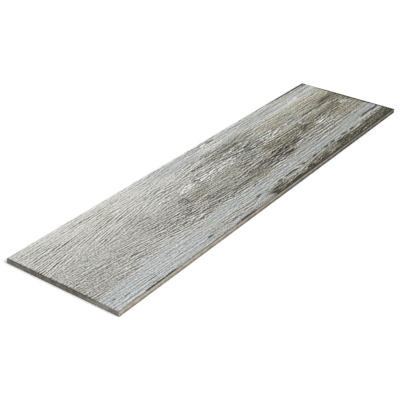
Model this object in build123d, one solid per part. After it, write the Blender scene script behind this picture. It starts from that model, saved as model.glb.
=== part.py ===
from build123d import *
import os

# A dry-pressed porcelain floor tile in a long plank format, fired as one piece.
# Frame: X along the length, Y across the width, Z up through the thickness.
# The origin is at the middle of the bedding face, the side that lies in the adhesive.

# Overall size, in millimetres
length = 900.0
width = 225.0
thickness = 9.0

# Edge section: a ground arris at the glazed face, and a pressed skirt that leans in at the foot
arris = 0.6
skirt_inset = 0.4
skirt_height = 1.2

# Keying on the bedding face: shallow square cells between ribs, inside a plain border
key_cell = 34.0
key_rib = 5.0
key_depth = 0.7
key_border = 12.0
key_corner_radius = 3.0


def blank():
    """The pressed and ground slab, with its arris at the top and its skirt at the foot."""
    slab = Box(length, width, thickness, align=(Align.CENTER, Align.CENTER, Align.MIN))
    slab = chamfer(slab.faces().sort_by(Axis.Z)[-1].edges(), arris)
    bedding_face = slab.faces().sort_by(Axis.Z)[0]
    return chamfer(bedding_face.edges(), skirt_inset, skirt_height, reference=bedding_face)


def cells_along(side):
    """How many cells fit between the plain borders, along one side of the tile."""
    free = side - 2 * skirt_inset - 2 * key_border
    return int((free + key_rib) // (key_cell + key_rib))


def keying():
    """One solid for each cell, standing on the bedding face where the press leaves a hollow."""
    cell = extrude(RectangleRounded(key_cell, key_cell, key_corner_radius), key_depth)
    pitch = key_cell + key_rib
    return [place * cell for place in GridLocations(pitch, pitch, cells_along(length), cells_along(width))]


floor_tile = blank() - keying()

os.makedirs("parts", exist_ok=True)
export_step(floor_tile, "parts/floor_tile.step")
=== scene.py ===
import math

import bpy
import numpy as np
from mathutils import Matrix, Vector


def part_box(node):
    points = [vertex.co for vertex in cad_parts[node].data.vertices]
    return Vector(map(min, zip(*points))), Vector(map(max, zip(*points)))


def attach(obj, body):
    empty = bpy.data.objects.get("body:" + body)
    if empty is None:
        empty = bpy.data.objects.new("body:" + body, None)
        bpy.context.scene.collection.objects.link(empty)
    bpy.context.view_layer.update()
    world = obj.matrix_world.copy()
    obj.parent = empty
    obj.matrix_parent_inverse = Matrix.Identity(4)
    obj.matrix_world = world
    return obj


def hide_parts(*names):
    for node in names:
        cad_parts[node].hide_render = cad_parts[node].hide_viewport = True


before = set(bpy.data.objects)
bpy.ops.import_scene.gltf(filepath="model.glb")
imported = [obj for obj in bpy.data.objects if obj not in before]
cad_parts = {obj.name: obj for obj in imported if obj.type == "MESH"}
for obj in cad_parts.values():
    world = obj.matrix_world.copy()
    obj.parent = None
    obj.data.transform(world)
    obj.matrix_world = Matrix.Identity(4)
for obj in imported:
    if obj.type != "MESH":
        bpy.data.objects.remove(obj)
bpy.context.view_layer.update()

# The floor tile: its pressed face
# A slab of porcelain powder, pressed dry against a stamp that leaves shallow wood grain in its face.
# The grain is a flat-sawn board's: it fans out from the heart at the near end and runs straighter beyond.
# Places on the face are in mm from its near front corner, along the tile and across it.
MM = 0.001
tile_low, tile_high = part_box("floor_tile")
tile_length, tile_width, tile_thickness = (tile_high - tile_low) / MM
arris = 0.6
steps_along = 360
steps_across = 224
along, across = np.meshgrid(
    np.linspace(arris, tile_length - arris, steps_along + 1),
    np.linspace(arris, tile_width - arris, steps_across + 1),
    indexing="ij",
)


def ease(low, high, value):
    """Climbs from 0 at low to 1 at high along the cubic 3t^2 - 2t^3, and is level outside."""
    t = np.clip((value - low) / (high - low), 0, 1)
    return t * t * (3 - 2 * t)


def drift(a, b, seed):
    """Smooth noise from 0 to 1: random heights at whole numbers, eased between the four round each (a, b).

    The heights repeat after the side of their grid."""
    side = 512
    heights = np.random.default_rng(seed).random((side, side))
    i, j = np.floor(a).astype(int), np.floor(b).astype(int)
    s, t = ease(0, 1, a - i), ease(0, 1, b - j)
    near = heights[i % side, j % side] * (1 - s) + heights[(i + 1) % side, j % side] * s
    far = heights[i % side, (j + 1) % side] * (1 - s) + heights[(i + 1) % side, (j + 1) % side] * s
    return near * (1 - t) + far * t


heart_line = 130
off_heart = across - heart_line


def bell(middle, spread, value):
    """A bell curve: e to the power of minus the square of the distance from the middle, in spreads."""
    return np.exp(-(((value - middle) / spread) ** 2))


def grain_lean():
    """How far the grain leans, in mm across for each mm along: a fan that opens on either side of the heart.

    Each part is a bell curve across the tile that fades along it. The upper fan is short, the lower one
    longer, and beyond them the grain bends down a little near the middle of the tile."""
    above = 0.18 * ease(340, 180, along) * bell(0, 55, off_heart)
    below = -0.16 * ease(560, 320, along) * bell(-42, 58, off_heart)
    middle = -0.13 * bell(540, 70, along) * bell(5, 35, off_heart)
    beyond = -0.04 * ease(600, 680, along) * bell(20, 45, off_heart)
    upper = ease(-10, 10, off_heart)
    return upper * above + (1 - upper) * below + middle + beyond


wander = 0.05
lean = grain_lean() + wander * (drift(along / 60, across / 25, seed=1) - 0.5)


def combed(reach, pitch, seed):
    """Noise combed along the grain: its sum at a few steps up to the reach either way, with a spread of 1.

    The noise is ribbed first, by taking away from each value the mean of those a pitch to either side."""
    steps = 9
    total = np.zeros_like(along)
    for step in np.linspace(-reach, reach, steps):
        a = 2 * (along + step) / reach
        b = (across + lean * step) / pitch
        total += drift(a, b, seed) - 0.5 * (drift(a, b + 1, seed) + drift(a, b - 1, seed))
    return total / total.std()


def between(low, high, rim, value):
    """1 from low to high and 0 outside, eased over a rim to either side of both."""
    return ease(low - rim, low + rim, value) * ease(high + rim, high - rim, value)


def coat(strokes, seed, shift_along=30, shift_across=7):
    """How thickly a coat lies, from a list of strokes (start, end, low, high, strength).

    Start and end are in mm along the tile, low and high in mm across it. Each stroke is a patch with eased
    rims. Noise shifts the rims, so that they run ragged along the grain. Where strokes meet, the stronger
    one counts."""
    longest_rim, widest_rim = 22, 6
    u = along + shift_along * (drift(along / 22, across / 4, seed) - 0.5)
    v = across + shift_across * (drift(along / 30, across / 7, seed + 1) - 0.5)
    lies = np.zeros_like(along)
    for start, end, low, high, strength in strokes:
        rim_along = min(longest_rim, (end - start) / 3)
        rim_across = min(widest_rim, (high - low) / 3)
        patch = between(start, end, rim_along, u) * between(low, high, rim_across, v)
        lies = np.maximum(lies, strength * patch)
    return lies


# The floor tile: its print
# The picture of an old painted board, laid down in coats as such a board gathers them: weathered wood,
# stains along the grain, what is left of a pale blue coat, and flakes of an older white one.
# Each coat is a list of strokes. Bleached wood lies mostly along the back edge.
weathering = coat(
    [
        (-40, 330, 188, 260, 0.27),
        (60, 270, 196, 260, 0.05),
        (-40, 330, 140, 190, 0.09),
        (320, 520, 196, 260, 0.31),
        (500, 940, 196, 260, 0.23),
        (640, 940, 150, 188, 0.04),
        (560, 700, 188, 260, 0.20),
        (680, 860, 183, 222, 0.33),
        (850, 940, 190, 222, 0.30),
        (230, 284, 149, 162, 0.12),
        (140, 275, 150, 196, 0.19),
        (270, 320, 181, 196, 0.18),
        (315, 455, 166, 197, 0.20),
        (370, 452, 148, 170, 0.20),
        (440, 540, 182, 197, 0.16),
        (590, 720, 195, 212, 0.39),
        (340, 430, 196, 212, 0.34),
        (596, 675, 121, 134, 0.16),
        (405, 450, 121, 134, 0.10),
        (762, 845, 120, 132, 0.02),
    ],
    seed=10,
)
# Brown and grey stains lie in the middle and at the far end, the darkest along the front edge.
stain = coat(
    [
        (180, 300, 70, 120, 0.10),
        (185, 228, 122, 150, 0.12),
        (136, 180, 136, 150, 0.06),
        (222, 240, 112, 120, 0.14),
        (270, 302, 74, 100, 0.30),
        (298, 334, 102, 127, 0.30),
        (333, 384, 104, 121, 0.22),
        (300, 480, 76, 128, 0.09),
        (-40, 170, 52, 104, 0.07),
        (-40, 80, 46, 104, 0.10),
        (-40, 90, 100, 260, 0.04),
        (90, 180, 104, 120, 0.06),
        (335, 410, 76, 97, 0.26),
        (410, 452, 76, 97, 0.15),
        (452, 504, 74, 92, 0.32),
        (455, 496, 46, 58, 0.10),
        (300, 340, 62, 76, 0.24),
        (390, 452, 63, 74, 0.36),
        (300, 460, 60, 77, 0.20),
        (365, 381, 140, 151, 0.24),
        (450, 600, 150, 192, 0.12),
        (640, 940, 150, 166, 0.11),
        (398, 450, 166, 172, 0.30),
        (462, 562, 178, 191, 0.30),
        (490, 562, 165, 176, 0.41),
        (436, 500, 166, 172, 0.30),
        (548, 606, 172, 193, 0.19),
        (452, 560, 96, 126, 0.13),
        (478, 492, 106, 116, 0.45),
        (498, 562, 72, 93, 0.37),
        (445, 560, 60, 80, 0.27),
        (550, 625, 62, 78, 0.24),
        (500, 600, 126, 160, 0.21),
        (545, 580, 134, 150, 0.33),
        (556, 606, 64, 96, 0.50),
        (770, 850, 92, 104, 0.26),
        (560, 680, 80, 126, 0.28),
        (670, 745, 88, 126, 0.31),
        (600, 668, 80, 95, 0.54),
        (688, 716, 93, 109, 0.49),
        (690, 760, 98, 122, 0.25),
        (600, 760, 54, 82, 0.09),
        (580, 670, 126, 152, 0.08),
        (690, 742, 136, 150, 0.12),
        (640, 740, 92, 104, 0.10),
        (765, 810, 62, 74, 0.15),
        (770, 850, 72, 92, 0.12),
        (745, 940, 100, 122, 0.28),
        (745, 850, 122, 150, 0.03),
        (840, 940, 122, 150, 0.28),
        (780, 884, 101, 120, 0.32),
        (810, 892, 138, 150, 0.52),
        (750, 850, 131, 136.5, 0.30),
        (800, 842, 152, 158, 0.30),
        (800, 940, 60, 100, 0.16),
        (420, 454, 3, 16, 0.68),
        (446, 486, 8, 19, 0.55),
        (440, 545, -40, 22, 0.25),
        (540, 645, -40, 14, 0.42),
        (545, 640, 12, 27, 0.20),
        (632, 674, 12, 27, 0.34),
        (640, 940, -40, 22, 0.38),
        (545, 584, 3, 14, 0.62),
        (585, 640, -40, 19, 0.57),
        (585, 640, -40, 11, 0.70),
        (720, 775, -40, 15, 0.72),
        (850, 940, -40, 16, 0.76),
        (664, 728, 4, 22, 0.60),
        (700, 940, -40, 21, 0.57),
        (785, 940, -40, 24.5, 0.57),
        (440, 940, -40, 7, 0.86),
        (-40, 24, 41, 50, 0.14),
        (46, 90, 46, 58, 0.11),
        (-40, 95, 194, 212, 0.17),
        (230, 268, 196, 210, 0.08),
        (300, 440, -40, 14, 0.20),
        (230, 440, -40, 30, 0.11),
        (60, 240, -40, 14, 0.12),
        (-40, 90, 30, 46, 0.10),
        (-40, 60, 104, 118, 0.06),
        (405, 450, 106, 118, 0.14),
        (500, 535, 106, 119, 0.24),
        (190, 226, 152, 164, 0.15),
        (366, 404, 152, 180, 0.11),
        (408, 446, 182, 196, 0.12),
        (400, 432, 215, 223, 0.16),
        (455, 545, 211, 260, 0.19),
        (590, 720, 213, 260, 0.08),
        (800, 940, 212, 260, 0.20),
        (516, 536, 212, 223, 0.50),
        (760, 940, 221.5, 260, 0.68),
        (790, 830, 209, 218, 0.14),
    ],
    seed=20,
)
# Parts of the wood are warmer, mostly towards the far end.
beige = coat(
    [
        (640, 940, 148, 182, 0.9),
        (550, 650, 164, 192, 0.5),
        (730, 940, 100, 152, 1.0),
        (330, 480, 98, 124, 0.4),
        (560, 740, 84, 126, 0.9),
        (740, 795, 58, 78, 0.6),
        (770, 940, 72, 122, 1.0),
        (440, 545, -40, 16, 0.6),
        (545, 660, -40, 24, 0.2),
        (660, 940, -40, 24, 0.7),
        (140, 260, 165, 215, 0.3),
    ],
    seed=30,
)
# The blue coat is left along the front edge and the far half of the back edge.
blue_paint = coat(
    [
        (-40, 56, 3, 44, 0.80),
        (40, 250, 1, 46, 0.80),
        (104, 240, 30, 57, 0.62),
        (240, 300, 2, 45, 0.48),
        (290, 480, 25, 52, 0.80),
        (290, 430, 2, 26, 0.50),
        (478, 546, 15, 24, 0.66),
        (470, 730, 28, 50, 0.92),
        (600, 700, 48, 64, 0.42),
        (700, 940, 28, 57, 0.72),
        (330, 480, 190, 222, 0.58),
        (540, 700, 194, 222, 0.54),
        (660, 940, 187, 219, 0.54),
    ],
    seed=40,
)
# Flakes of the white coat lie mostly along the heart of the board.
white_paint = coat(
    [
        (318, 368, 130, 146, 1.00),
        (268, 304, 137, 149, 1.08),
        (240, 284, 149, 160, 0.50),
        (376, 452, 127, 151, 0.80),
        (448, 506, 129, 149, 0.78),
        (500, 600, 130, 160, 0.50),
        (198, 238, 75, 88, 0.68),
        (254, 277, 74, 91, 0.64),
        (230, 300, 55, 69, 0.52),
        (578, 668, 127, 151, 0.68),
        (676, 694, 129, 143, 0.80),
        (728, 754, 92, 98.5, 1.4),
        (764, 788, 74.5, 80.5, 1.0),
        (798, 822, 75.5, 80.5, 0.9),
        (716, 732, 121, 126, 1.2),
        (728, 802, 79, 90, 0.45),
        (504, 522, 210, 223, 1.3),
        (788, 834, 188, 198, 0.90),
        (868, 892, 103, 111, 1.0),
        (492, 562, 160, 165.5, 0.85),
        (628, 660, 75.5, 81.5, 0.85),
        (518, 550, 39, 51, 0.62),
        (832, 862, 149, 156, 0.62),
        (540, 570, 97, 103, 0.66),
        (876, 940, 93, 99, 0.60),
    ],
    seed=50,
)
# Short black cracks follow the grain, and chips run along the front edge.
cracks = coat(
    [
        (472, 491, 24.2, 27.4, 1.1),
        (498, 537, 23.2, 26.4, 1.1),
        (553, 571, 24.0, 27.0, 1.0),
        (597, 617, 24.6, 28.0, 1.15),
        (648, 666, 26.2, 29.2, 1.0),
        (671, 687, 26.2, 29.2, 1.0),
        (718, 737, 26.2, 29.4, 1.05),
        (748, 766, 25.8, 28.8, 0.95),
        (64, 106, -2, 3.8, 0.95),
        (109, 136, -2, 3.8, 0.95),
        (302, 312, -2, 3.4, 0.9),
        (317, 361, -2, 4.6, 1.0),
        (430, 453, -2, 5, 0.95),
        (505, 560, -2, 5, 0.9),
        (575, 640, -2, 5, 0.95),
        (655, 682, -2, 4.4, 0.9),
        (692, 746, -2, 4.4, 0.85),
        (239, 254, 12.2, 15.6, 0.85),
        (395, 418, 23.4, 26.6, 0.9),
        (32, 46, 16.4, 19.2, 0.6),
        (93, 107, 14.4, 17.2, 0.6),
        (15, 28, 24.4, 27.2, 0.6),
        (818, 940, 36.5, 40.5, 1.0),
        (398, 452, 149.5, 153, 0.6),
        (398, 442, 167.5, 171, 0.6),
        (48, 72, 50, 52.5, 0.5),
        (418, 452, 50.5, 53.5, 0.6),
        (770, 940, 220.5, 260, 1.0),
        (680, 752, 80.5, 83.0, 0.7),
        (655, 800, 71.8, 74.4, 0.48),
        (640, 800, 65.8, 68.4, 0.48),
        (632, 700, 145.5, 148.5, 0.55),
        (750, 850, 132.5, 135.5, 0.7),
        (600, 660, 99, 101.5, 0.6),
        (815, 880, 142, 146.5, 0.20),
    ],
    seed=60,
    shift_along=10,
    shift_across=1.6,
)
# Here the ribs are rubbed down.
worn_smooth = coat(
    [
        (-40, 125, 100, 150, 0.20),
        (120, 400, 98, 150, 0.17),
        (-40, 60, -40, 60, 0.22),
        (180, 300, -40, 50, 0.14),
        (400, 560, 96, 126, 0.16),
        (540, 620, 10, 60, 0.12),
        (540, 680, 152, 200, 0.26),
        (720, 940, 150, 200, 0.26),
        (600, 940, 100, 150, 0.16),
        (780, 940, 44, 100, 0.20),
        (500, 562, 164, 182, 0.48),
        (805, 892, 137, 150, 0.60),
        (785, 875, 100, 120, 0.46),
        (-40, 430, -40, 12, 0.25),
    ],
    seed=65,
)
# The board grows darker and greyer towards the far end.
toward_far_end = ease(60, 760, along)

# How deep the furrows are: they come and go in patches, and are shallow where the board is worn.
depth = 0.70 + coat(
    [
        (-40, 330, 172, 214, 0.40),
        (-40, 330, 145, 176, 0.26),
        (110, 310, 60, 100, 0.38),
        (300, 620, 54, 190, 0.08),
        (430, 940, 200, 260, 0.55),
    ],
    seed=67,
)
patchy = 0.42 + 1.16 * drift(along / 45, across / 13, seed=68)
smooth_foot = 0.12 * ease(27, 18, across) * ease(430, 520, along)
depth = depth * patchy - worn_smooth - smooth_foot

# Ribs run from -1, the floor of a furrow, to 1, the crest of a rib. They are short dashes and long lines,
# and the long lines show most in the blue paint and beside it at the far end.
beside_paint = coat([(640, 940, 56, 90, 0.8), (540, 940, 186, 260, 1.0), (640, 940, 150, 190, 0.6)], seed=66)
lined = np.maximum(blue_paint, beside_paint)
near_share = ease(340, 140, along)
far_share = ease(420, 680, along)
middle_share = 1 - near_share - far_share
evened = np.sqrt(near_share**2 + middle_share**2 + far_share**2)
dashes = (
    near_share * combed(11, 1.7, seed=130)
    + middle_share * combed(7, 2.1, seed=131)
    + far_share * combed(7, 2.4, seed=132)
)
long_lines = (1 - far_share) * combed(40, 1.9, seed=140) + far_share * combed(60, 2.5, seed=141)
drawn_out = 0.15 + 0.25 * lined + far_share * 0.12
lines = dashes * (0.85 - 0.40 * lined) / evened + drawn_out * long_lines
ribs = np.tanh(0.95 * lines)

# The print is darker along the rims, least at the near end of the front and back edges. Along the near end
# this darkening is painted shade beside the arris.
near_rim_shade = ease(3.4, 1.0, along) * (0.30 + 0.40 * ease(20, 80, across))
far_rim = ease(7.0, 3.5, tile_length - along) * (0.35 + 0.65 * ease(205, 120, across))
front_rim = ease(3.6, 1.2, across) * (0.05 + 0.37 * ease(30, 90, along) + 0.5 * ease(420, 640, along))
back_rim = ease(4.0, 1.5, tile_width - across) * (0.10 + 0.80 * ease(640, 820, along))
rim_darkening = np.maximum.reduce([near_rim_shade, far_rim, front_rim, back_rim])

# The wood's tone runs from 0, bleached, to the darkest, almost black. Paint shows where its cover is over 0.
bare_tone = 0.31
darkest_tone = 1.3
bare_middle = ease(170, 460, along) * ease(210, 170, across) * ease(22, 55, across)
tone = bare_tone + 0.07 * bare_middle + 0.05 * toward_far_end - weathering
# The darker rims, with painted shade along the near end, go into the tone here.
tone = tone + 1.25 * stain + 0.18 * white_paint + 0.9 * rim_darkening
tone = tone + (0.015 + 0.03 * bare_middle) * combed(40, 5, seed=70)
blue_cover = 0.9 * blue_paint - 0.42 + 0.07 * combed(30, 7, seed=90) + 0.14 * ribs * depth - rim_darkening
white_cover = 0.75 * white_paint + 0.04 * bare_middle - 0.66
white_cover = white_cover + 0.22 * combed(6, 2.6, seed=150) + 0.1 * ribs - rim_darkening

# The floor tile: its relief
# The stamp's ribs and furrows are up to half a millimetre deep and lie on a broader swell.
# The paint stands a little proud of the wood, and the relief is shallower in a narrow band along the edges.
rib_depth = 0.5
swell_depth = 0.16
paint_depth = 0.09
paint_rim = 0.06
edge_band = 4.0
edge_share = 0.3
swell = 0.5 + 0.5 * np.tanh(combed(40, 9, seed=120))
painted = np.maximum(ease(-paint_rim, paint_rim, blue_cover), ease(-paint_rim, paint_rim, white_cover))
from_edge = np.minimum.reduce([along, tile_length - along, across, tile_width - across])
stamped = np.minimum(ribs * depth, 1)
sunk = rib_depth * (1 - stamped) / 2 + swell_depth * (1 - swell) + paint_depth * (1 - painted)
height = tile_thickness - sunk * (edge_share + (1 - edge_share) * ease(0, edge_band, from_edge))

# The floor tile: its slab
# Under the face the slab has a ground arris, square edges and a skirt that leans in at the foot.
# Its back is pressed with a lattice of shallow cells, which the adhesive grips.
skirt_inset = 0.4
skirt_height = 1.2
key_cell = 34.0
key_rib = 5.0
key_depth = 0.7
key_border = 12.0
key_corner_radius = 3.0
key_draft = 0.5
mid_edge = 0.55 * tile_thickness


def loop_round(grid):
    """The rim of a grid of numbers as one loop, anticlockwise from its first corner."""
    return np.concatenate([grid[:-1, 0], grid[-1, :-1], grid[:0:-1, -1], grid[0, :0:-1]])


face_number = np.arange(along.size).reshape(along.shape)
face_points = np.stack([along, across, height], -1).reshape(-1, 3)
face_quads = np.stack(
    [face_number[:-1, :-1], face_number[1:, :-1], face_number[1:, 1:], face_number[:-1, 1:]], -1
).reshape(-1, 4)

# The edge is a profile of (inset from the outline, height) carried round the rim of the face.
edge_profile = [
    (0.0, tile_thickness - arris),
    (0.0, mid_edge),
    (0.0, skirt_height),
    (skirt_inset, 0.0),
]
rim = loop_round(face_number)
rim_share = (face_points[rim, :2] - arris) / (np.array([tile_length, tile_width]) - 2 * arris)
edge_points = np.concatenate(
    [
        np.column_stack([
            inset + rim_share[:, 0] * (tile_length - 2 * inset),
            inset + rim_share[:, 1] * (tile_width - 2 * inset),
            np.full(len(rim), level),
        ])
        for inset, level in edge_profile
    ]
)
edge_rings = np.vstack([rim, len(face_points) + np.arange(len(edge_points)).reshape(len(edge_profile), -1)])
upper, lower = edge_rings[:-1], edge_rings[1:]
edge_quads = np.stack([upper, lower, np.roll(lower, -1, 1), np.roll(upper, -1, 1)], -1).reshape(-1, 4)


def cells_along(side):
    """How many cells fit between the plain borders, along one side of the tile."""
    return int((side - 2 * skirt_inset - 2 * key_border + key_rib) // (key_cell + key_rib))


def square_ring():
    """Points round a square of half-side 1, anticlockwise, closer together at its corners."""
    core = 1 - 2 * key_corner_radius / key_cell
    side = np.array([-1.0, -0.5 - 0.5 * core, -core, 0.0, core, 0.5 + 0.5 * core])
    one = np.ones_like(side)
    return np.concatenate([
        np.column_stack([side, -one]),
        np.column_stack([one, side]),
        np.column_stack([-side, one]),
        np.column_stack([-one, -side]),
    ])


def rounded(ring, half_side, radius):
    """The ring with rounded corners: the nearest point of a smaller square, plus the radius outwards."""
    core = np.clip(ring * half_side, radius - half_side, half_side - radius)
    out = ring * half_side - core
    return core + radius * out / np.linalg.norm(out, axis=1, keepdims=True)


pitch = key_cell + key_rib
columns, rows = cells_along(tile_length), cells_along(tile_width)
ring = square_ring()
ring_count = len(ring)
cell_rings = [
    (ring * pitch / 2, 0.0),
    (rounded(ring, key_cell / 2, key_corner_radius), 0.0),
    (rounded(ring, key_cell / 2 - key_draft, key_corner_radius - key_draft), key_depth),
]
cell_points = np.stack([np.column_stack([flat, np.full(ring_count, level)]) for flat, level in cell_rings])
centre_along = tile_length / 2 + pitch * (np.arange(columns) - (columns - 1) / 2)
centre_across = tile_width / 2 + pitch * (np.arange(rows) - (rows - 1) / 2)
centres = np.zeros((columns, rows, 1, 1, 3))
centres[..., 0, 0, 0] = centre_along[:, None]
centres[..., 0, 0, 1] = centre_across[None, :]
lattice = (centres + cell_points).reshape(-1, 3)
weld_distance = 0.001
lattice_keys = np.round(lattice / weld_distance).astype(np.int64)
_, first_of, welded = np.unique(lattice_keys, axis=0, return_index=True, return_inverse=True)
key_points = lattice[first_of]
key_number = len(face_points) + len(edge_points) + welded.reshape(columns, rows, len(cell_rings), ring_count)
outer, inner = key_number[:, :, :-1], key_number[:, :, 1:]
key_quads = np.stack([outer, inner, np.roll(inner, -1, -1), np.roll(outer, -1, -1)], -1).reshape(-1, 4)
cell_floors = key_number[:, :, -1, ::-1].reshape(-1, ring_count)

# The plain border is a strip of triangles from the foot of the skirt to the lattice, whose spacings differ.
side_points = ring_count // 4
squares = key_number[:, :, 0]
lattice_rim = np.concatenate([
    squares[:, 0, :side_points].ravel(),
    squares[-1, :, side_points:2 * side_points].ravel(),
    squares[::-1, -1, 2 * side_points:3 * side_points].ravel(),
    squares[0, ::-1, 3 * side_points:].ravel(),
])
points = np.concatenate([face_points, edge_points, key_points])


def way_round(loop):
    """How far round each point of a rectangular loop lies: its side's number plus its share of that side."""
    flat = points[loop, :2]
    low, high = flat.min(0), flat.max(0)
    share = (flat - low) / (high - low)
    close = 1e-6
    on_side = np.stack([share[:, 1], 1 - share[:, 0], 1 - share[:, 1], share[:, 0]], -1) < close
    here = np.stack([share[:, 0], share[:, 1], 1 - share[:, 0], 1 - share[:, 1]], -1)
    side = np.argmax(on_side & (here < 1 - close), axis=1)
    return side + np.take_along_axis(here, side[:, None], 1)[:, 0]


def zip_loops(outside, inside):
    """Triangles between two loops.

    Each outer edge meets the inner point nearest it on the way round, and each inner edge meets the outer
    point where that nearest point changes."""
    sides = 4
    outer_way = np.append(way_round(outside), sides)
    inner_way = np.append(way_round(inside), sides)
    outside, inside = np.append(outside, outside[0]), np.append(inside, inside[0])
    changes = (inner_way[:-1] + inner_way[1:]) / 2
    nearest = np.searchsorted(changes, (outer_way[:-1] + outer_way[1:]) / 2)
    turn = np.searchsorted(nearest, np.arange(1, len(inside)))
    outer_triangles = np.column_stack([outside[1:], outside[:-1], inside[nearest]])
    inner_triangles = np.column_stack([inside[:-1], inside[1:], outside[turn]])
    return np.concatenate([outer_triangles, inner_triangles])


border_triangles = zip_loops(edge_rings[-1], lattice_rim)
faces = [face_quads, edge_quads, key_quads, cell_floors, border_triangles]
mesh = bpy.data.meshes.new("glazed_floor_tile")
middle_of_back = [tile_length / 2, tile_width / 2, 0.0]
mesh.from_pydata((points - middle_of_back) * MM, [], [face for group in faces for face in group.tolist()])
group_sizes = [len(group) for group in faces]
mesh.polygons.foreach_set("use_smooth", np.repeat([True, False, False, False, False], group_sizes))
mesh.polygons.foreach_set("material_index", np.repeat([0, 1, 2, 2, 2], group_sizes))
off_face = np.zeros(len(points) - along.size)
for name, values in {
    "tone": tone,
    "beige": beige,
    "blue_cover": blue_cover,
    "white_cover": white_cover,
    "cracks": cracks,
    "ribs": ribs,
    "toward_far_end": toward_far_end,
    "depth": depth,
}.items():
    layer = mesh.attributes.new(name, "FLOAT", "POINT")
    layer.data.foreach_set("value", np.append(values.ravel(), off_face).astype(np.float32))

# On the map the face is lowest, the back lies above it, and the edges are strips on top of that.
map_margin = 0.004
map_length = 0.992
end_map_length = 0.49
near_end_start = 0.506
face_map_width = 0.60
back_map_base = 0.615
back_map_width = 0.29
front_strip, back_strip, end_strip = 0.915, 0.940, 0.965
strip_width = 0.02
corner_point = np.concatenate([group.ravel() for group in faces])
corner_group = np.repeat(np.arange(len(faces)), [group.size for group in faces])
place = points[corner_point]
share_along, share_across = place[:, 0] / tile_length, place[:, 1] / tile_width
map_along = map_margin + map_length * share_along
face_across = map_margin + face_map_width * share_across
back_across = back_map_base + back_map_width * share_across
map_across = np.where(corner_group == 0, face_across, back_across)
on_edge = corner_group == 1
edge_side = np.floor(way_round(rim)).astype(int)
edge_strip = np.repeat(np.tile(edge_side, len(edge_profile)), edge_quads.shape[1])
strip_base = np.choose(edge_strip, [front_strip, end_strip, back_strip, end_strip])
far_end_along = map_margin + end_map_length * share_across[on_edge]
near_end_along = near_end_start + end_map_length * share_across[on_edge]
long_side_along = map_along[on_edge]
map_across[on_edge] = strip_base + strip_width * (tile_thickness - place[on_edge, 2]) / tile_thickness
map_along[on_edge] = np.choose(edge_strip, [long_side_along, far_end_along, long_side_along, near_end_along])
bake_map = mesh.uv_layers.new(name="OFBake")
bake_map.uv.foreach_set("vector", np.column_stack([map_along, map_across]).astype(np.float32).ravel())
mesh.validate()
tile = bpy.data.objects.new("glazed_floor_tile", mesh)
bpy.context.scene.collection.objects.link(tile)


# The floor tile: its glaze
# A matt glaze over the print, fired on with the body.
# Bare wood is dry and dull in it, old paint is a little smoother, and the furrows are dark.
class Wire:
    """A socket in a material's nodes. Sums, differences, products and quotients add Math nodes."""

    def __init__(self, tree, socket=None):
        self.tree = tree
        self.socket = socket

    def node(self, kind, settings, sockets, output=0):
        """Adds a node, fills its sockets with values or wires, and gives the wire of one of its outputs.

        The settings are set first, and a ramp's stops are one of them."""
        made = self.tree.nodes.new(kind)
        stops = settings.pop("stops", None)
        for name, value in settings.items():
            setattr(made, name, value)
        if stops:
            while len(made.color_ramp.elements) < len(stops):
                made.color_ramp.elements.new(1.0)
            for element, (position, colour) in zip(made.color_ramp.elements, stops):
                element.position = position
                element.color = colour
        for name, value in sockets.items():
            if isinstance(value, Wire):
                self.tree.links.new(value.socket, made.inputs[name])
            else:
                made.inputs[name].default_value = value
        return Wire(self.tree, made.outputs[output])

    def end(self, kind, shader):
        """Joins a shader to the output of a material or a world."""
        self.tree.links.new(shader.socket, self.tree.nodes.new(kind).inputs["Surface"])

    def math(self, operation, first, second):
        """A Math node on two wires or numbers."""
        return self.node("ShaderNodeMath", {"operation": operation}, {0: first, 1: second})

    def __add__(self, other):
        return self.math("ADD", self, other)

    __radd__ = __add__

    def __sub__(self, other):
        return self.math("SUBTRACT", self, other)

    def __rsub__(self, other):
        return self.math("SUBTRACT", other, self)

    def __mul__(self, other):
        return self.math("MULTIPLY", self, other)

    __rmul__ = __mul__

    def __truediv__(self, other):
        return self.math("DIVIDE", self, other)

    def highest(self, other):
        """The greater of two wires."""
        return self.math("MAXIMUM", self, other)

    def rise(self, low, high):
        """0 at low and beyond it, 1 at high and beyond it, eased between."""
        return self.node(
            "ShaderNodeMapRange",
            {"interpolation_type": "SMOOTHSTEP"},
            {"Value": self, "From Min": low, "From Max": high, "To Min": 0.0, "To Max": 1.0},
        )

    def tint(self, first, second, blend="MIX"):
        """The first colour turning into the second, or blended with it, as this wire goes from 0 to 1."""
        factor, first_colour, second_colour, mixed_colour = 0, 6, 7, 2
        return self.node(
            "ShaderNodeMix",
            {"data_type": "RGBA", "blend_type": blend},
            {factor: self, first_colour: first, second_colour: second},
            mixed_colour,
        )

    def attribute(self, name):
        """One of the numbers that the mesh holds at its points."""
        return self.node("ShaderNodeAttribute", {"attribute_name": name}, {}, "Fac")

    def measure(self, axis):
        """One object coordinate in mm: X along the tile, Y across it or Z up."""
        place = self.node("ShaderNodeTexCoord", {}, {}, "Object")
        return self.node("ShaderNodeSeparateXYZ", {}, {"Vector": place}, axis) / MM

    def spot(self, along_scale, across_scale, up_scale):
        """Object coordinates in mm, each divided by its own scale."""
        scales = {"X": along_scale, "Y": across_scale, "Z": up_scale}
        scaled = {axis: self.measure(axis) / scale for axis, scale in scales.items()}
        return self.node("ShaderNodeCombineXYZ", {}, scaled)

    def noise(self, spot, detail=2.0, roughness=0.5):
        """Blender's noise at a spot, from 0 to 1."""
        return self.node(
            "ShaderNodeTexNoise",
            {"noise_dimensions": "3D"},
            {"Vector": spot, "Scale": 1.0, "Detail": detail, "Roughness": roughness},
        )


def paint(red, green, blue):
    """A colour as it looks on screen, 0 to 255, as the linear light that a shader takes."""
    screen = np.array([red, green, blue]) / 255
    linear = np.where(screen <= 0.04045, screen / 12.92, ((screen + 0.055) / 1.055) ** 2.4)
    return (*linear.tolist(), 1.0)


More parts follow.
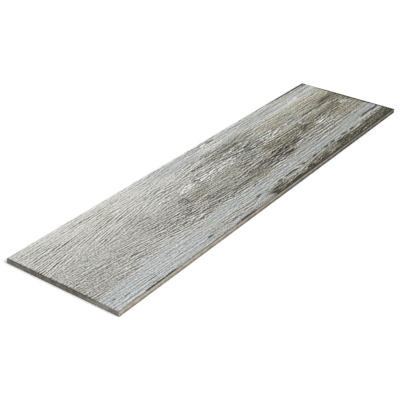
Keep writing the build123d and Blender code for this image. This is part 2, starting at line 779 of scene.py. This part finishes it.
def new_material(name):
    """A material with no nodes yet, and a wire to build them with."""
    material = bpy.data.materials.new(name)
    material.use_nodes = True
    material.node_tree.nodes.clear()
    return material, Wire(material.node_tree)


def surface(wire, colour, roughness, normal):
    """Ends a material: a Principled shader of low gloss with these, into the material's output."""
    low_gloss = 0.25
    shader = wire.node(
        "ShaderNodeBsdfPrincipled",
        {},
        {"Base Color": colour, "Roughness": roughness, "Normal": normal, "Specular IOR Level": low_gloss},
    )
    wire.end("ShaderNodeOutputMaterial", shader)


# Fibres, flecks and specks are the print's fine noise. The ramp goes from bleached wood to the darkest.
glaze, wire = new_material("matt_wood_print_glaze")
fibre = wire.noise(wire.spot(8, 2.0, 10), 1.0, 0.6) - 0.5
fleck = wire.noise(wire.spot(5.0, 2.6, 10), 1.0, 0.6) - 0.5
speck = wire.noise(wire.spot(2.7, 2.7, 10), 0.0) - 0.5
rib = (wire.attribute("ribs") * 0.6 + fibre * 0.6 + fleck * 0.6).rise(-0.50, 0.50)
furrow = (0.55 - rib) * wire.attribute("depth") + speck * 1.2
wood_tone = wire.attribute("tone") + furrow + fibre * 0.3 + fleck * 0.4
wood = wire.node(
    "ShaderNodeValToRGB",
    {
        "stops": [
            (0.000, paint(214, 213.5, 210.5)),
            (0.154, paint(193, 192.5, 188.5)),
            (0.269, paint(176, 175, 170.5)),
            (0.400, paint(155, 153.5, 147.5)),
            (0.538, paint(131, 129, 120)),
            (0.662, paint(109, 106, 95)),
            (0.840, paint(66, 62, 52)),
            (1.000, paint(34, 31, 24)),
        ]
    },
    {"Fac": wood_tone / darkest_tone},
)
warm_wood = paint(255, 252, 241)
wood = wire.attribute("beige").tint(wood, warm_wood, "MULTIPLY")
far_weight = wire.attribute("toward_far_end")
thick_white = wire.attribute("white_cover")
blue = (wire.attribute("blue_cover") + fleck * 0.6 + fibre * 0.4).rise(-0.10, 0.10)
white = (thick_white + fleck * 1.4 + fibre * 0.8).rise(-0.06, 0.06)
# Paint lightness on the ribs, lower in the furrows and darker towards the far end.
rib_light = 0.62 - furrow * 1.3 + speck * 0.5 - far_weight * 0.22
near_blue, far_blue, blue_furrow = paint(206, 210.5, 213.5), paint(190.5, 194, 195.5), paint(125, 126, 121)
blue_shade = rib_light.tint(blue_furrow, far_weight.tint(near_blue, far_blue))
white_furrow, white_rib = paint(172, 173, 169), paint(246, 246, 245)
white_shade = (rib_light + thick_white * 0.5).tint(white_furrow, white_rib)
coated = (blue * 0.8).tint(wood, blue_shade)
cool_fade, warm_fade = paint(246, 253, 255), paint(255, 251.5, 245)
faded = wire.noise(wire.spot(60, 15, 10), 1.0, 0.5).rise(0.35, 0.65).tint(cool_fade, warm_fade)
coated = (far_weight * 0.65 + 0.15).tint(coated, faded, "MULTIPLY")
coated = (white * 0.9).tint(coated, white_shade)
crack_black = paint(50, 47, 40)
coated = (wire.attribute("cracks") + fleck * 1.2).rise(0.35, 0.6).tint(coated, crack_black)
relief = fibre * 0.6 + fleck * 0.4
bump = wire.node("ShaderNodeBump", {}, {"Strength": 0.5, "Distance": 0.0004, "Height": relief})
dull = 0.74 - blue.highest(white) * 0.12
surface(wire, coated, dull, bump)

# The floor tile: its edge
# The edge shows the porcelain body, a mottled beige biscuit with a line of glaze along its top.
# It darkens towards its foot with painted shade, and it darkens towards the far end. The near end is painted
# darker, as shade, paling to its front corner, and its glaze line is painted darkest there, as shade.
# Heights are in mm above the floor, and other places in mm from the middle of the tile.
# The foot colours and the end colours here are painted shade on the body's colour.
near_top, far_top = paint(194, 189, 174), paint(128, 123, 111)
near_foot_shaded, far_foot_shaded = paint(150, 144, 127), paint(12, 11, 9)
near_glaze, far_glaze = paint(128, 123, 111), paint(84, 80, 71)
shaded_end_top, corner_top = paint(164, 160, 148), paint(196, 192, 181)
shaded_end_foot, corner_foot = paint(163, 159, 147), paint(215, 211, 200)
shaded_end_glaze, corner_glaze = paint(52, 49, 43), paint(160, 157, 150)
toe_shade, dark_mottle, pale_mottle = paint(52, 48, 41), paint(84, 78, 65), paint(214, 208, 192)
biscuit, wire = new_material("beige_biscuit_edge")
grit = wire.noise(wire.spot(2.2, 2.2, 0.9), 3.0, 0.65)
cloud = wire.noise(wire.spot(11, 11, 9), 2.0, 0.6)
along_edge = wire.measure("X")
high_up = wire.measure("Z")
far_on = along_edge.rise(-420.0, 420.0)
at_end = along_edge.rise(-449.0, -449.8)
front_corner = wire.measure("Y").rise(-30.0, -108.0)
# The near end is painted darker, as shade, paling towards its front corner.
top = at_end.tint(far_on.tint(near_top, far_top), front_corner.tint(shaded_end_top, corner_top))
# The foot is painted darker, as shade.
foot = along_edge.rise(-420.0, 250.0).tint(near_foot_shaded, far_foot_shaded)
foot = at_end.tint(foot, front_corner.tint(shaded_end_foot, corner_foot))
body = high_up.rise(3.5, 6.7).tint(foot, top)
body = (0.6 - high_up.rise(0.6, 2.4) * 0.6).tint(body, toe_shade)
mottle = (cloud - 0.5) * (1.3 + at_end * 1.2)
body = ((grit - 0.5) * 1.2 + mottle + 0.12).tint(body, dark_mottle)
body = (mottle * -0.6).tint(body, pale_mottle)
# The glaze line is painted darkest on the near end, as shade.
glaze_and_end_shade_line = at_end.tint(far_on.tint(near_glaze, far_glaze), front_corner.tint(shaded_end_glaze, corner_glaze))
body = (high_up.rise(7.4, 8.5) * 0.9).tint(body, glaze_and_end_shade_line)
bump = wire.node("ShaderNodeBump", {}, {"Strength": 0.4, "Distance": 0.0003, "Height": grit})
surface(wire, body, 0.8 + (grit - 0.5) * 0.1, bump)

# The floor tile: its back
# Bare biscuit, pressed with its cells and never glazed.
# A thin wash of white engobe, which keeps it off the kiln's rollers, is left on the ribs.
back, wire = new_material("engobe_washed_back")
grit = wire.noise(wire.spot(1.4, 1.4, 1.4), 3.0, 0.65)
wash = wire.noise(wire.spot(30, 9, 10), 3.0, 0.6)
dark_grain, pale_grain, engobe_white = paint(158, 150, 134), paint(190, 182, 166), paint(214, 210, 200)
body = grit.tint(dark_grain, pale_grain)
on_ribs = 1 - wire.measure("Z").rise(0.1, 0.5)
body = (wash.rise(0.35, 0.60) * on_ribs * 0.8).tint(body, engobe_white)
bump = wire.node("ShaderNodeBump", {}, {"Strength": 0.4, "Distance": 0.0003, "Height": grit})
surface(wire, body, 0.85 + (grit - 0.5) * 0.1, bump)

# The finishes go on in the order of the faces' material numbers.
for finish in (glaze, biscuit, back):
    mesh.materials.append(finish)
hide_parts("floor_tile")
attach(tile, "root")

# The studio floor
# A plain white board that the tile lies on.
# It looks white, but throws only part of the light back at the tile, and it takes the tile's shadow.
floor_reach = 12.0
floor_mesh = bpy.data.meshes.new("studio_floor")
floor_corners = np.array([[-1, -1, 0], [1, -1, 0], [1, 1, 0], [-1, 1, 0]]) * floor_reach
floor_mesh.from_pydata(floor_corners, [], [(0, 1, 2, 3)])
floor = bpy.data.objects.new("studio_floor", floor_mesh)
bpy.context.scene.collection.objects.link(floor)
board, wire = new_material("white_board")


def looked_at(wire):
    """1 for what is seen straight, in a mirror or through glass, and 0 for light that falls on things."""
    kinds = ("Is Camera Ray", "Is Glossy Ray", "Is Transmission Ray")
    straight, mirrored, through_glass = [wire.node("ShaderNodeLightPath", {}, {}, kind) for kind in kinds]
    return straight.highest(mirrored).highest(through_glass)


board_grey = paint(165, 165, 165)
full_white = (1.0, 1.0, 1.0, 1.0)
shade = looked_at(wire).tint(board_grey, full_white)
diffuse = wire.node("ShaderNodeBsdfDiffuse", {}, {"Color": shade})
wire.end("ShaderNodeOutputMaterial", diffuse)
floor_mesh.materials.append(board)

# The studio light
# An even white surround, which also makes the white background.
# One broad soft lamp shines from the right of the camera, over the long front side of the tile.
surround_level = 0.328
world = bpy.data.worlds.new("white_surround")
world.use_nodes = True
world.node_tree.nodes.clear()
wire = Wire(world.node_tree)
level = looked_at(wire) * (1 - surround_level) + surround_level
background = wire.node("ShaderNodeBackground", {}, {"Color": full_white, "Strength": level})
wire.end("ShaderNodeOutputWorld", background)
bpy.context.scene.world = world
lamp_data = bpy.data.lights.new("soft_lamp", "SUN")
lamp_data.energy = 3.05
lamp_data.angle = math.radians(45)
lamp = bpy.data.objects.new("soft_lamp", lamp_data)
lamp_heading = math.radians(178)
lamp_height = math.radians(48)
lamp_turn = Matrix.Rotation(-math.pi / 2 + lamp_height, 4, "X")
lamp.matrix_world = Matrix.Rotation(-lamp_heading, 4, "Z") @ lamp_turn
bpy.context.scene.collection.objects.link(lamp)

# The camera
# It looks along the tile from above its near end, with a long lens.
# Its place and turn put the tile's edges where the photo has them.
camera_data = bpy.data.cameras.new("camera")
camera_data.sensor_width = 36.0
camera_data.lens = 82.68
camera = bpy.data.objects.new("camera", camera_data)
heading = math.radians(55.084)
looking_down = math.radians(29.696)
tilt = math.radians(1.586)
turn = Matrix.Rotation(-heading, 4, "Z") @ Matrix.Rotation(math.pi / 2 - looking_down, 4, "X")
turn = turn @ Matrix.Rotation(tilt, 4, "Z")
camera_place = Matrix.Translation((-1.2475, -0.8031, 0.7935))
camera.matrix_world = camera_place @ turn
bpy.context.scene.collection.objects.link(camera)
bpy.context.scene.camera = camera
bpy.context.scene.view_settings.view_transform = "Standard"
